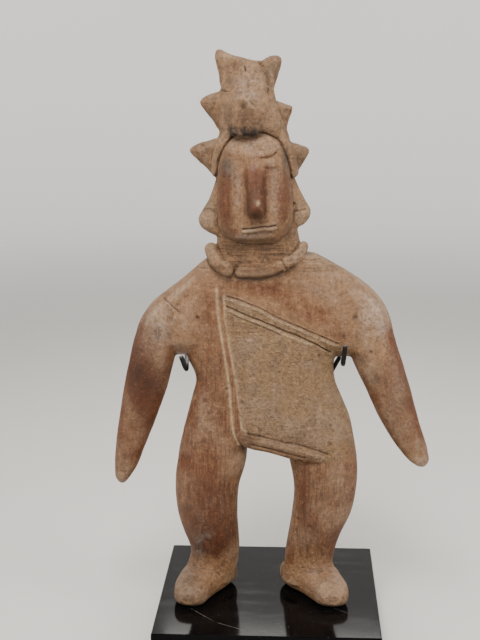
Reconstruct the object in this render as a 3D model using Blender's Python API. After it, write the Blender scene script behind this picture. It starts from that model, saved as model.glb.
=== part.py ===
"""A flat fired clay figure in a horned headdress, standing on a black slab between two bent rods.

The figure's front faces -Y. The model's origin is in the middle of the slab's underside.
"""

import math

import bmesh
import bpy
import numpy as np
from mathutils import Vector
from mathutils.bvhtree import BVHTree

# Driving dimensions, in metres
FIGURE_HEIGHT = 0.301         # soles to the tip of the taller horn
BASE_SIDE_MARGIN = 0.0124     # from the outer side of each foot to the slab's edge, before the shift
BASE_FRONT_MARGIN = 0.032     # from the toes to the slab's front edge, and the same behind the middle
BASE_THICKNESS = 0.020
BASE_EDGE_BEVEL = 0.0008
ROD_DIAMETER = 0.0026
ROD_SEAT_DEPTH = 0.012        # how far each rod goes down into the slab
ROD_BEND_RADIUS = 0.005
ROD_BEHIND_FIGURE = 0.0115    # from the figure's back to the middle of each upright
FIGURE_LEFT_OF_MIDDLE = 0.004
FIT_CLEARANCE = 0.0003        # between the figure, the rods and the slab

# The figure's forms are shares of its height: one unit is a millimetre at the real size
UNIT = FIGURE_HEIGHT / 301
STANCE_WIDTH = 97.2 * UNIT
TOE_REACH = 31 * UNIT
BASE_WIDTH = STANCE_WIDTH + 2 * BASE_SIDE_MARGIN
BASE_DEPTH = 2 * (TOE_REACH + BASE_FRONT_MARGIN)

RING_SIDES = 36
RINGS_PER_ROW = 4
ROLL_SIDES = 16
CLAY_VOXEL = 0.9 * UNIT
CLAY_SMOOTHING = 7
CLAY_TRIANGLES = 6800

# Upright forms: rows of height, left, right, front, back, from the lower end upwards
TORSO = [(87.5, -45, 51, -12, 11), (98, -43, 49.5, -12.5, 11.5), (112, -39.4, 44.4, -12.5, 11.5),
         (124, -37.1, 39.7, -12.2, 11.2), (135, -41.5, 39.6, -11.9, 10.9), (150, -46, 46, -11.5, 10.5),
         (162, -42, 42, -9, 8)]
SHOULDERS = [(136.4, -68, 68, -1.6, 1), (138.6, -69.5, 70, -5, 4.4), (143, -70.2, 71.6, -9.3, 8.3),
             (150.3, -69.6, 71, -11, 10), (161.6, -64.3, 68, -11.9, 10.8), (167.2, -59.9, 65.2, -11.9, 10.8),
             (172.9, -52.8, 60.8, -11.7, 10.6), (178.5, -45.4, 54.3, -11.7, 10.6),
             (184.1, -38.8, 45.6, -12, 10.8), (189.6, -32.4, 36, -12.3, 11), (193.4, -26, 28.6, -12, 10.6)]
LEFT_ARM = [(61.8, -80.8, -77.6, -2, 2), (64.4, -82.6, -75.4, -4, 4), (70.8, -83.3, -71.2, -5.6, 5.6),
            (83.4, -82.6, -66, -7.3, 7.3), (100.6, -80, -59.5, -8.8, 8.8), (117.7, -77, -53.3, -9.8, 9.6),
            (134.6, -73.6, -48.6, -10.4, 9.8), (150, -69.6, -44, -10.4, 9.6), (162, -62, -44, -6, 5.6),
            (170, -54, -48, -2, 2)]
RIGHT_ARM = [(73.6, 87, 90.4, -2, 2), (75.8, 83.6, 92.2, -4, 4), (83.4, 76.5, 92, -6, 6),
             (94.9, 68.5, 88.4, -7.8, 7.8), (106.3, 62.2, 84.8, -9, 8.8), (117.7, 57, 81.7, -9.8, 9.6),
             (134.6, 49, 76.3, -10.4, 9.8), (150, 44, 71, -10.4, 9.6), (162, 44, 64.6, -6, 5.6),
             (170, 49, 57, -2, 2)]
LEFT_LEG = [(5, -47, -16, -11, 14), (17, -41.2, -13.8, -10.5, 14.5), (23.1, -40.6, -13.2, -11, 14),
            (35.1, -44.5, -13.8, -12.5, 13.5), (47.1, -47.9, -14.2, -13.3, 13), (62, -49.2, -13.2, -13.3, 12.5),
            (77.6, -47.6, -8.9, -12.9, 12), (88, -45.6, -8.2, -12, 11),
            (100, -40, -12, -7, 7)]
RIGHT_LEG = [(5, 11.5, 45, -11, 14), (17, 13, 39.7, -10.5, 14.5), (23.1, 13.5, 40.8, -11, 14),
             (35.1, 15.1, 44.5, -12.5, 13.5), (47.1, 16.7, 50, -13.3, 13), (62, 17.5, 52.8, -13.3, 12.5),
             (77.6, 14.8, 52.8, -12.9, 12), (88, 11.6, 51.4, -12, 11),
             (100, 16, 46, -7, 7)]
NECK = [(178, -30, 28, -12, 11), (188, -26.5, 24, -12.8, 11.5), (199, -25.2, 20, -13.5, 12),
        (212, -24.5, 17.5, -14, 12)]
HEAD = [(205, -24.6, 17, -13, 12), (222, -24.6, 16, -11, 12.5), (237, -25.6, 16, -9.5, 13),
        (250, -25, 14.8, -8, 13.5), (260, -23.7, 12.4, -6.5, 13.5), (270, -23.3, 7.5, -5, 13),
        (280.7, -23.2, 5.3, -4, 12), (288, -24.2, 7.3, -3.4, 11), (295.6, -25.8, 9, -2.4, 9.6)]
LEFT_HORN = [(288, -24.2, -12, -3, 10), (294, -25.6, -6, -2.6, 9.6), (296.6, -26, -8, -2.2, 9),
             (298.3, -26, -15.5, -1.6, 8.2), (300.2, -25.8, -20, -0.6, 7), (301.6, -25, -22.4, 1, 5)]
RIGHT_HORN = [(288, -4, 7.3, -3, 10), (294, -2, 9, -2.6, 9.6), (296.3, -1, 9.3, -2, 9),
              (297.6, 1.6, 8.8, -1, 7.6), (298.6, 4, 7.4, 1, 5)]
FACE = [(201, -12, 7, -17.5, 4), (204, -18.6, 10.8, -21, 4), (208.4, -22.6, 14.2, -23.3, 4),
        (216.3, -23.9, 15.8, -25, 4), (226, -24, 15.3, -25.3, 4), (236, -23.9, 14.3, -24.6, 4),
        (245, -22.6, 12.6, -23.6, 4), (252.5, -19.4, 10.2, -21.4, 4), (257.5, -14, 6, -18.6, 4),
        (260.5, -8, 0, -15, 4)]
NOSE = [(215.9, -5.6, 0.8, -27.5, -20), (217.6, -6.7, 2, -31, -20), (221.5, -7, 2.6, -32.6, -20),
        (226, -6.4, 1.8, -31.6, -20), (233, -6.2, 1.2, -29.2, -20), (241, -6.4, 1, -27, -19),
        (249, -6, 0.4, -23.2, -18)]
TRUNK = [(261, -20.5, 9.5, -12, 6), (267, -18.6, 6.8, -14.5, 6), (274, -17.6, 4.2, -14.6, 6),
         (281, -17.3, 2.6, -12.8, 6), (288, -16, 1, -10, 6), (293.4, -14.6, -0.6, -7.4, 6),
         (296, -13, -2.4, -4, 6)]
SNOUT = [(256.9, -14.6, -3.4, -22, -6), (258.4, -17, -1, -25, -6), (262.5, -17.6, 0.6, -25.6, -6),
         (267, -17.4, 1.2, -23.6, -6), (273, -17, 2, -19.4, -6), (280, -16, 1.8, -14.4, -6),
         (287, -13, -1, -10, -5)]

# Side spikes and ear ornaments: height and outer edge, from the lower end upwards, on one inner edge
LEFT_UPPER_SPIKE = [(256.5, -21), (259.6, -24.2), (265, -27.8), (270.2, -31.9), (274.7, -34), (278.4, -28.4),
                    (280, -23)]
RIGHT_UPPER_SPIKE = [(256, 10.5), (258.8, 12), (265, 13.5), (270, 15.2), (272.4, 14.6), (274, 9), (275.3, 6)]
LEFT_LOWER_SPIKE = [(234.6, -26.4), (238.5, -30), (243.8, -36), (246.6, -38.6), (249, -39.5),
                    (251.6, -36.4), (254, -29.5), (255.2, -24.5)]
RIGHT_LOWER_SPIKE = [(233.5, 16), (238.5, 18.9), (243.8, 22), (248, 24.2), (250.4, 23), (252.2, 18.5),
                     (253.4, 14)]
LEFT_EAR = [(203, -25), (205.4, -30.5), (208.4, -33.9), (212, -35.2), (216.9, -32.9), (222, -30),
            (227.7, -27.7), (235.5, -25)]
RIGHT_EAR = [(206.5, 17), (211, 22.6), (214, 25), (217, 25.4), (222.3, 22.5), (227.7, 19.6), (234.5, 16.4)]

# Feet: rows of place along the foot from the heel to the toes, left, right, underneath, top
LEFT_FOOT = [(13, -36, -20, 0, 12), (9, -39.5, -15.4, -1, 15), (0, -43.6, -17.2, -1, 16.4),
             (-10, -47.2, -23, -1, 14.6), (-20, -48.2, -28.4, -1, 12.4), (-27.2, -46.4, -31.6, 0, 10.4),
             (-30.6, -43, -35, 2, 8)]
RIGHT_FOOT = [(13, 16, 32, 0, 12), (9, 11.2, 37.5, -1, 15), (0, 13, 42.4, -1, 16.6),
              (-10, 21.4, 46.4, -1, 14.6), (-19, 27.4, 48.6, -1, 12.4), (-24.8, 31.4, 47.2, 0, 10.4),
              (-28, 35, 43.6, 2, 8)]

# Rolls laid on the clay: points across, forward and up, with one radius for each roll
LEFT_COLLAR = [(-26.8, -4, 196.8), (-27.8, -8.4, 192.4), (-23.6, -12.4, 187.6), (-18.8, -13.6, 185.4)]
MIDDLE_COLLAR = [(-10.8, -14, 184.3), (-3.5, -14.2, 184.2), (4, -14, 185.4), (9.2, -13.6, 187.2)]
RIGHT_COLLAR = [(10.4, -13.4, 189.2), (16.4, -11.8, 192.2), (20.2, -8.2, 195.4), (20.8, -4, 197.6)]
COLLAR_RADIUS = 2.9
LEFT_HOOD_BAND = [(-24.4, -7, 238), (-23.4, -8.4, 246), (-20.2, -10, 254.5), (-13.6, -10.6, 262.6)]
RIGHT_HOOD_BAND = [(15.4, -6.4, 238), (14, -8.4, 246), (10.2, -10, 255), (2.4, -10.6, 262.4)]
HOOD_BAND_RADIUS = 3.6
HEM = [(-9, -7.5, 91.8), (4, -9, 88.4), (18, -9.6, 84.8), (33, -9, 81.6)]
HEM_RADIUS = 4.6

# Incised lines on the front: points across and up
GARMENT_EDGES = [[(-24.4, 174.2), (-23, 153), (-19.5, 132), (-17, 112), (-14.8, 92.5)],
                 [(-20.8, 171.3), (-19.2, 155), (-16.2, 135), (-13.6, 116), (-11, 97.8)]]
SHOULDER_BAND = [[(-18, 171.2), (-3.5, 166), (8, 160.4), (24.4, 153), (40.6, 145.6)],
                 [(-17, 165.2), (-3, 159.2), (5.5, 155.4), (26.6, 146.2), (35.6, 141)]]
HEM_LINES = [[(-8.4, 95.6), (-2.4, 94), (11.6, 90.8), (26.8, 87), (35.7, 84.6)]]
GARMENT_LINE = (1.2, 1.0)     # radius of the line's hollow and depth
MOUTH = [[(-9.9, 211.4), (-2, 211.3), (7.6, 213.2)]]
EYES = [[(0, 249), (4.4, 250), (8.6, 251)], [(-18.6, 247.2), (-14, 248), (-9.6, 247.8)]]
FACE_LINE = (1.0, 0.9)
LINE_STEP = 2.6
LINE_SIDES = 6

# Where the rods run, seen from the front; the uprights are hidden behind the legs
UPRIGHT_X = (-29, 29)
UPRIGHT_TOP = 104
ARMPIT = ((-44.2, 132.2), (44.6, 133.6))
HOOK_FOOT = ((-41, 131.4), (43.6, 135.2))
HOOK_TIP = ((-43.9, 139.4), (44.7, 146.2))
FIGURE_BACK = 13
HOOK_FRONT = -15


def clear_scene():
    for old in list(bpy.data.objects):
        bpy.data.objects.remove(old)


def make_material(name, colour, roughness, metallic=0.0):
    material = bpy.data.materials.new(name)
    material.use_nodes = True
    shader = material.node_tree.nodes["Principled BSDF"]
    shader.inputs["Base Color"].default_value = (*colour, 1)
    shader.inputs["Roughness"].default_value = roughness
    shader.inputs["Metallic"].default_value = metallic
    return material


def add_object(name, bm, material):
    """Make an object from a bmesh, with its faces turned outwards."""
    bmesh.ops.recalc_face_normals(bm, faces=bm.faces)
    mesh = bpy.data.meshes.new(name)
    bm.to_mesh(mesh)
    bm.free()
    mesh.materials.append(material)
    thing = bpy.data.objects.new(name, mesh)
    bpy.context.scene.collection.objects.link(thing)
    return thing


def smooth_rows(rows, steps):
    """Fill in rows on a smooth curve through the given ones; the first column says how far along they are."""
    rows = np.array(rows, dtype=float)
    slopes = np.gradient(rows, rows[:, 0], axis=0)
    filled = []
    for i in range(len(rows) - 1):
        span = rows[i + 1, 0] - rows[i, 0]
        for t in np.arange(steps) / steps:
            start = (1 + 2 * t) * (1 - t) ** 2 * rows[i] + t * (1 - t) ** 2 * span * slopes[i]
            end = t ** 2 * (3 - 2 * t) * rows[i + 1] - t ** 2 * (1 - t) * span * slopes[i + 1]
            filled.append(start + end)
    filled.append(rows[-1])
    return filled


def smooth_path(points, steps):
    """Fill in points on a smooth curve through the given ones."""
    points = np.array(points, dtype=float)
    chords = np.linalg.norm(np.diff(points, axis=0), axis=1)
    along = np.concatenate([[0], np.cumsum(chords)])
    return [row[1:] for row in smooth_rows(np.column_stack([along, points]), steps)]


def skin_rings(bm, rings):
    """Close a row of rings into one solid."""
    rings = [[bm.verts.new(point) for point in ring] for ring in rings]
    for first, second in zip(rings, rings[1:]):
        for k in range(len(first)):
            after = (k + 1) % len(first)
            bm.faces.new((first[k], first[after], second[after], second[k]))
    bm.faces.new(rings[0])
    bm.faces.new(rings[-1])


def add_form(bm, rows, squareness=2.5, lying=False):
    """Add a form whose sections are rounded boxes, upright or lying along the figure's depth."""
    rings = []
    for place, left, right, near, far in smooth_rows(rows, RINGS_PER_ROW):
        ring = []
        for k in range(RING_SIDES):
            turn = math.tau * k / RING_SIDES
            across, deep = (math.copysign(abs(v) ** (2 / squareness), v) for v in (math.cos(turn), math.sin(turn)))
            across = (left + right) / 2 + across * (right - left) / 2
            deep = (near + far) / 2 + deep * (far - near) / 2
            ring.append(Vector((across, place, deep) if lying else (across, deep, place)) * UNIT)
        rings.append(ring)
    skin_rings(bm, rings)


def add_fin(bm, edge, inner, front, back):
    """Add a flat spike or ornament that stands out sideways from the head."""
    rows = [(place, min(outer, inner), max(outer, inner), front, back) for place, outer in edge]
    add_form(bm, rows, squareness=2)


def ring_about(centre, heading, radius, sides):
    """A ring of points round a line that runs along the heading."""
    upwards = Vector((0, 0.35, 1)) if abs(heading.z) < 0.9 else Vector((0, 1, 0))
    across = heading.cross(upwards).normalized()
    other = heading.cross(across)
    turns = [math.tau * (k + 0.5) / sides for k in range(sides)]
    return [centre + (across * math.cos(turn) + other * math.sin(turn)) * radius for turn in turns]


def add_roll(bm, points, radius, sides=ROLL_SIDES, steps=3, rounded=True):
    """Add a roll of clay along a smooth path, with rounded ends."""
    path = [Vector(point) for point in smooth_path(points, steps)]
    headings = [(path[min(i + 1, len(path) - 1)] - path[max(i - 1, 0)]).normalized() for i in range(len(path))]
    shrink = [math.radians(angle) for angle in (75, 50, 25)] if rounded else []
    rings = [(path[0] - headings[0] * radius * math.sin(a), headings[0], radius * math.cos(a)) for a in shrink]
    rings += [(centre, heading, radius) for centre, heading in zip(path, headings)]
    rings += [(path[-1] + headings[-1] * radius * math.sin(a), headings[-1], radius * math.cos(a))
              for a in reversed(shrink)]
    skin_rings(bm, [ring_about(*ring, sides) for ring in rings])


def scaled(points):
    return [tuple(value * UNIT for value in point) for point in points]


def add_head(bm):
    for rows in (HEAD, LEFT_HORN, RIGHT_HORN):
        add_form(bm, rows)
    add_form(bm, FACE, squareness=3)
    for rows in (NOSE, TRUNK, SNOUT):
        add_form(bm, rows, squareness=2.2)
    add_fin(bm, LEFT_UPPER_SPIKE, -12, -2, 9)
    add_fin(bm, RIGHT_UPPER_SPIKE, -4, -2, 9)
    add_fin(bm, LEFT_LOWER_SPIKE, -12, -4, 8)
    add_fin(bm, RIGHT_LOWER_SPIKE, 2, -4, 8)
    add_fin(bm, LEFT_EAR, -16, -7, 5)
    add_fin(bm, RIGHT_EAR, 6, -7, 5)
    for band in (LEFT_HOOD_BAND, RIGHT_HOOD_BAND):
        add_roll(bm, scaled(band), HOOD_BAND_RADIUS * UNIT)


def add_body(bm):
    add_form(bm, TORSO, squareness=2.6)
    add_form(bm, SHOULDERS, squareness=2.7)
    for rows in (LEFT_ARM, RIGHT_ARM, LEFT_LEG, RIGHT_LEG, NECK):
        add_form(bm, rows, squareness=2.2)
    for rows in (LEFT_FOOT, RIGHT_FOOT):
        add_form(bm, rows, squareness=2.4, lying=True)
    for collar in (LEFT_COLLAR, MIDDLE_COLLAR, RIGHT_COLLAR):
        add_roll(bm, scaled(collar), COLLAR_RADIUS * UNIT)
    add_roll(bm, scaled(HEM), HEM_RADIUS * UNIT)


def add_box(bm, low, high):
    """Add a box between two corners."""
    corners = bmesh.ops.create_cube(bm, size=1)["verts"]
    for vert in corners:
        vert.co = Vector(high[i] if vert.co[i] > 0 else low[i] for i in range(3))
    return corners


def cut(thing, cutter):
    """Take a cutter's shape out of an object."""
    cutter.hide_render = True
    cutter.display_type = "WIRE"
    boolean = thing.modifiers.new(cutter.name, "BOOLEAN")
    boolean.operation = "DIFFERENCE"
    boolean.solver = "EXACT"
    boolean.object = cutter


def front_of(tree, x, z):
    """The point on the front of the clay at a place seen from the front."""
    hit = tree.ray_cast(Vector((x, -FIGURE_HEIGHT, z)), Vector((0, 1, 0)))[0]
    return hit


def add_line_cutter(bm, tree, points, line):
    """Add the hollow of one incised line, which follows the clay's front."""
    radius, depth = (value * UNIT for value in line)
    points = [Vector((x, 0, z)) for x, z in scaled(points)]
    length = sum((b - a).length for a, b in zip(points, points[1:]))
    steps = max(2, round(length / (LINE_STEP * UNIT) / (len(points) - 1)))
    route = [front_of(tree, x, z) - Vector((0, radius - depth, 0)) for x, _, z in smooth_path(points, steps)]
    add_roll(bm, route, radius, sides=LINE_SIDES, steps=1, rounded=False)


def build_figurine(clay):
    bm = bmesh.new()
    add_body(bm)
    add_head(bm)
    figurine = add_object("figurine", bm, clay)
    join = figurine.modifiers.new("one_body", "REMESH")
    join.mode = "VOXEL"
    join.voxel_size = CLAY_VOXEL
    soften = figurine.modifiers.new("soften", "SMOOTH")
    soften.iterations = CLAY_SMOOTHING

    bpy.context.view_layer.update()
    dense = figurine.evaluated_get(bpy.context.evaluated_depsgraph_get())
    thin = figurine.modifiers.new("facets", "DECIMATE")
    thin.ratio = CLAY_TRIANGLES / (2 * len(dense.data.polygons))
    thin.use_collapse_triangulate = True

    bpy.context.view_layer.update()
    tree = BVHTree.FromObject(figurine, bpy.context.evaluated_depsgraph_get())
    bm = bmesh.new()
    for points in GARMENT_EDGES + SHOULDER_BAND + HEM_LINES:
        add_line_cutter(bm, tree, points, GARMENT_LINE)
    for points in MOUTH + EYES:
        add_line_cutter(bm, tree, points, FACE_LINE)
    lines = add_object("incised_lines", bm, clay)

    bm = bmesh.new()
    reach = FIGURE_HEIGHT / 2
    add_box(bm, (-reach, -reach, -reach), (reach, reach, 0))
    ground = add_object("flat_soles", bm, clay)
    for cutter in (lines, ground):
        cutter.parent = figurine
        cut(figurine, cutter)
    figurine.location = (-FIGURE_LEFT_OF_MIDDLE, 0, BASE_THICKNESS + FIT_CLEARANCE)
    return figurine


def upright_place(side):
    """Where an upright stands, measured from the figure's middle."""
    return UPRIGHT_X[side] * UNIT, FIGURE_BACK * UNIT + ROD_BEHIND_FIGURE


def build_rod(name, side, black):
    """A rod that rises behind a leg, comes forward under the armpit and turns up in front."""
    x, y = upright_place(side)
    (arm_x, arm_z), (foot_x, foot_z), (tip_x, tip_z) = scaled((ARMPIT[side], HOOK_FOOT[side], HOOK_TIP[side]))
    front = HOOK_FRONT * UNIT
    corners = [(x, y, FIT_CLEARANCE - ROD_SEAT_DEPTH), (x, y, UPRIGHT_TOP * UNIT), (arm_x, y, arm_z),
               (foot_x, front, foot_z), (tip_x, front, tip_z)]
    route = [Vector(corners[0])]
    for before, here, after in zip(corners, corners[1:], corners[2:]):
        before, here, after = Vector(before), Vector(here), Vector(after)
        reach = min(ROD_BEND_RADIUS, (before - here).length * 0.48, (after - here).length * 0.48)
        start = here + (before - here).normalized() * reach
        end = here + (after - here).normalized() * reach
        for t in (0, 0.2, 0.4, 0.6, 0.8, 1):
            route.append(start * (1 - t) ** 2 + here * 2 * t * (1 - t) + end * t ** 2)
    route.append(Vector(corners[-1]))

    curve = bpy.data.curves.new(name, "CURVE")
    curve.dimensions = "3D"
    curve.bevel_depth = ROD_DIAMETER / 2
    curve.bevel_resolution = 3
    curve.use_fill_caps = True
    spline = curve.splines.new("POLY")
    spline.points.add(len(route) - 1)
    for point, place in zip(spline.points, route):
        point.co = (*place, 1)
    curve.materials.append(black)
    rod = bpy.data.objects.new(name, curve)
    bpy.context.scene.collection.objects.link(rod)
    rod.location = (-FIGURE_LEFT_OF_MIDDLE, 0, BASE_THICKNESS)
    return rod


def build_base(black):
    bm = bmesh.new()
    add_box(bm, (-BASE_WIDTH / 2, -BASE_DEPTH / 2, 0), (BASE_WIDTH / 2, BASE_DEPTH / 2, BASE_THICKNESS))
    base = add_object("stand_base", bm, black)
    edge = base.modifiers.new("edge", "BEVEL")
    edge.width = BASE_EDGE_BEVEL
    edge.segments = 2

    bm = bmesh.new()
    for side in (0, 1):
        x, y = upright_place(side)
        hole = bmesh.ops.create_cone(bm, cap_ends=True, segments=24, radius1=ROD_DIAMETER / 2 + FIT_CLEARANCE,
                                     radius2=ROD_DIAMETER / 2 + FIT_CLEARANCE, depth=2 * ROD_SEAT_DEPTH)
        bmesh.ops.translate(bm, verts=hole["verts"], vec=(x - FIGURE_LEFT_OF_MIDDLE, y, BASE_THICKNESS))
    holes = add_object("rod_holes", bm, black)
    holes.parent = base
    cut(base, holes)
    return base


def main():
    clear_scene()
    clay = make_material("fired_clay", (0.47, 0.29, 0.19), 0.55)
    polished = make_material("polished_black", (0.01, 0.01, 0.011), 0.15)
    satin = make_material("satin_black", (0.015, 0.015, 0.015), 0.4)
    build_figurine(clay)
    build_base(polished)
    build_rod("prong_left", 0, satin)
    build_rod("prong_right", 1, satin)


main()
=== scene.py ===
"""The looks of a flat fired clay figure in a horned headdress, on a black slab between two bent rods.

The figure's front faces -Y. Its forms are in millimetres at the real size: across, towards the back, and up
from the middle of its soles.
"""

import itertools
import math

import bmesh
import bpy
import numpy as np
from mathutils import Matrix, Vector


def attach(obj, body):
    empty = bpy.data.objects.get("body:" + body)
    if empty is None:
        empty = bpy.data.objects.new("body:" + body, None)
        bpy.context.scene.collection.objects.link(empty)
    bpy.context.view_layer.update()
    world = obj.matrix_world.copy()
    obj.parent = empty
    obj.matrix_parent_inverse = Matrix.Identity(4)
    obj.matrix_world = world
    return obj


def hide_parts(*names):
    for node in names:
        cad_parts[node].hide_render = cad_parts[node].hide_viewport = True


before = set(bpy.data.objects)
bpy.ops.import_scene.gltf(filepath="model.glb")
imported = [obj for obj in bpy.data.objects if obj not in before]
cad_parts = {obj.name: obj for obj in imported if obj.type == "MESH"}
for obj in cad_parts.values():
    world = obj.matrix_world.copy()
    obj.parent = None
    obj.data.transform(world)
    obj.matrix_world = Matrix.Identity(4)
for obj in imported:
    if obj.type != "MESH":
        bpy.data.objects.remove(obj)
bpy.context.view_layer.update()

MM = 0.001
FIGURE_PLACE = Vector((-4, 0, 20.3))      # the figure's middle on the slab
RING_SIDES = 72
RINGS_PER_ROW = 6
ROLL_SIDES = 24
CLAY_VOXEL = 0.5
CLAY_SMOOTHING = 20
CLAY_TRIANGLES = 190000
BLEND_ROUNDS = 60                         # how often the crest's slopes are smoothed
LINE_REACH = 8                            # how far from a drawn line its marks may lie
LINE_STEPS = 5                            # points between those given for a drawn line
HOLLOW_ROUNDS = 6                         # how often the surface is smoothed to find its hollows
NOISE_CELLS = 64                          # after so many lumps the noise starts again
PIT_COUNT = 260

# Upright forms: rows of height, left, right, front, back, from the lower end upwards
TORSO = [(87.5, -44.4, 50.6, -10.2, 9.4), (93, -44.4, 50.4, -11.8, 10.8), (100, -42.6, 49, -12.5, 11.5),
         (112, -39.4, 44.4, -12.5, 11.5), (124, -37.1, 39.7, -12.2, 11.2), (135, -41.5, 39.6, -11.9, 10.9),
         (150, -46, 46, -11.5, 10.5), (162, -42, 42, -9, 8)]
SHOULDERS = [(136.4, -68, 68, -1.6, 1), (138.6, -69.5, 70, -5, 4.4), (143, -70.2, 71.6, -9.3, 8.3),
             (150.3, -69.6, 71, -11, 10), (161.6, -64.3, 68, -11.9, 10.8), (167.2, -59.9, 65.2, -11.9, 10.8),
             (172.9, -52.8, 60.8, -11.7, 10.6), (178.5, -45.4, 54.3, -11.7, 10.6),
             (184.1, -38.8, 45.6, -12, 10.8), (189.6, -32.4, 36, -12.3, 11), (193.4, -26, 28.6, -12, 10.6)]
LEFT_ARM = [(61.8, -80.8, -77.6, -2, 2), (64.4, -82.6, -75.4, -4, 4), (70.8, -83.3, -71.2, -5.6, 5.6),
            (83.4, -82.6, -66, -7.3, 7.3), (100.6, -80, -59.5, -8.8, 8.8), (117.7, -77, -53.3, -9.8, 9.6),
            (134.6, -73.6, -48.6, -10.4, 9.8), (150, -69.6, -44, -10.6, 9.8), (162, -63.4, -42, -10.8, 9.8),
            (172, -52.6, -36, -10.2, 9.2), (182, -40, -30, -8.6, 7.6)]
RIGHT_ARM = [(73.6, 87, 90.4, -2, 2), (75.8, 83.6, 92.2, -4, 4), (83.4, 76.5, 92, -6, 6),
             (94.9, 68.5, 88.4, -7.8, 7.8), (106.3, 62.2, 84.8, -9, 8.8), (117.7, 57, 81.7, -9.8, 9.6),
             (134.6, 49, 76.3, -10.4, 9.8), (150, 44, 71, -10.6, 9.8), (162, 42, 67.2, -10.8, 9.8),
             (172, 36, 60.8, -10.2, 9.2), (182, 30, 47, -8.6, 7.6)]
LEFT_LEG = [(5, -47, -16, -11, 14), (17, -41.2, -13.8, -10.5, 14.5), (23.1, -40.6, -13.2, -11, 14),
            (35.1, -44.5, -13.8, -12.5, 13.5), (47.1, -47.9, -14.2, -13.3, 13),
            (62, -49.2, -13.2, -13.3, 12.5), (77.6, -47.6, -8.9, -12.9, 12),
            (88, -45.6, -8.2, -12.6, 11.6), (99, -42.4, -8.6, -12.1, 11.1), (112, -38.6, -11, -11, 10),
            (126, -34, -13, -9, 8)]
RIGHT_LEG = [(5, 11.5, 45, -11, 14), (17, 13, 39.7, -10.5, 14.5), (23.1, 13.5, 40.8, -11, 14),
             (35.1, 15.1, 44.5, -12.5, 13.5), (47.1, 16.7, 50, -13.3, 13), (62, 17.5, 52.8, -13.3, 12.5),
             (77.6, 14.8, 52.8, -12.9, 12), (88, 11.6, 51.4, -12.6, 11.6), (99, 12, 49, -12.1, 11.1),
             (112, 13, 43, -11, 10), (126, 15, 38, -9, 8)]
NECK = [(178, -30, 28, -12, 11), (188, -26.5, 24, -12.8, 11.5), (199, -25.2, 20, -13.5, 12),
        (212, -24.5, 17.5, -14, 12)]
HEAD = [(205, -24.6, 17, -13, 12), (222, -24.6, 16, -11, 12.5), (237, -25.6, 16, -9.5, 13),
        (250, -25, 14.8, -8, 13.5), (260, -23.7, 12.4, -6.5, 13.5), (270, -23.3, 7.5, -5, 13),
        (280.7, -23.2, 5.3, -4, 12), (288, -24.2, 7.3, -3.4, 11), (295.6, -25.8, 9, -2.4, 9.6)]
LEFT_HORN = [(276, -21, -15, 0, 8), (286, -23.4, -12, -2, 9.4), (294, -25.6, -6, -2.6, 9.6),
             (296.6, -26, -8, -2.2, 9), (298.3, -26, -15.5, -1.6, 8.2), (300.2, -25.8, -20, -0.6, 7),
             (301.6, -25, -22.4, 1, 5)]
RIGHT_HORN = [(276, -1, 3, 0, 8), (286, -4, 6.4, -2, 9.4), (294, -2, 9, -2.6, 9.6), (296.3, -1, 9.3, -2, 9),
              (297.6, 1.6, 8.8, -1, 7.6), (298.6, 4, 7.4, 1, 5)]
FACE = [(201, -12, 7, -17.5, 4), (204, -18.6, 10.8, -21, 4), (208.4, -22.6, 14.2, -23.3, 4),
        (216.3, -23.9, 15.8, -25, 4), (226, -24, 15.3, -25.3, 4), (236, -23.9, 14.3, -24.6, 4),
        (245, -22.6, 12.6, -23.6, 4), (252.5, -19.4, 10.2, -21.4, 4), (257.5, -14, 6, -18.6, 4),
        (260.5, -8, 0, -15, 4)]
NOSE = [(215.9, -5.2, -0.4, -27.5, -20), (217.6, -6.6, 1, -31, -20), (221.5, -7.3, 1.6, -33, -20),
        (226, -7.2, 1.2, -31.4, -20), (233, -8.4, 1.2, -29.2, -19), (241, -9.8, 2, -27.2, -18),
        (249, -10.2, 2.4, -23.2, -17)]
TRUNK = [(261, -20.5, 9.5, -12, 6), (267, -18.6, 6.8, -14.5, 6), (274, -17.6, 4.2, -14.6, 6),
         (281, -17.3, 2.6, -12.8, 6), (288, -16, 1, -10, 6), (293.4, -14.6, -0.6, -7.4, 6),
         (296, -13, -2.4, -4, 6)]
SNOUT = [(256.9, -14.6, -3.4, -22, -6), (258.4, -17, -1, -25, -6), (262.5, -17.6, 0.6, -25.6, -6),
         (267, -17.4, 1.2, -23.6, -6), (273, -17, 2, -19.4, -6), (280, -16, 1.8, -14.4, -6),
         (287, -13, -1, -10, -5)]
CREST_SLOPE = [(256, -22.4, 11.6, -15, 5), (262, -23.4, 11, -16.4, 5), (268, -23.4, 9, -15.4, 5),
               (275, -23, 6.6, -12.8, 5), (282, -22.8, 5.4, -10.2, 5), (289, -21, 5, -7.2, 5),
               (295, -17, 1, -4, 5)]
SNOUT_SIDE = [(257, -13, 8, -18.4, -6), (262, -14.6, 9.2, -20.2, -6), (268, -15, 7.6, -19, -6),
              (275, -15, 5.4, -16.4, -6), (283, -15, 3.6, -12.6, -6)]

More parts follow.
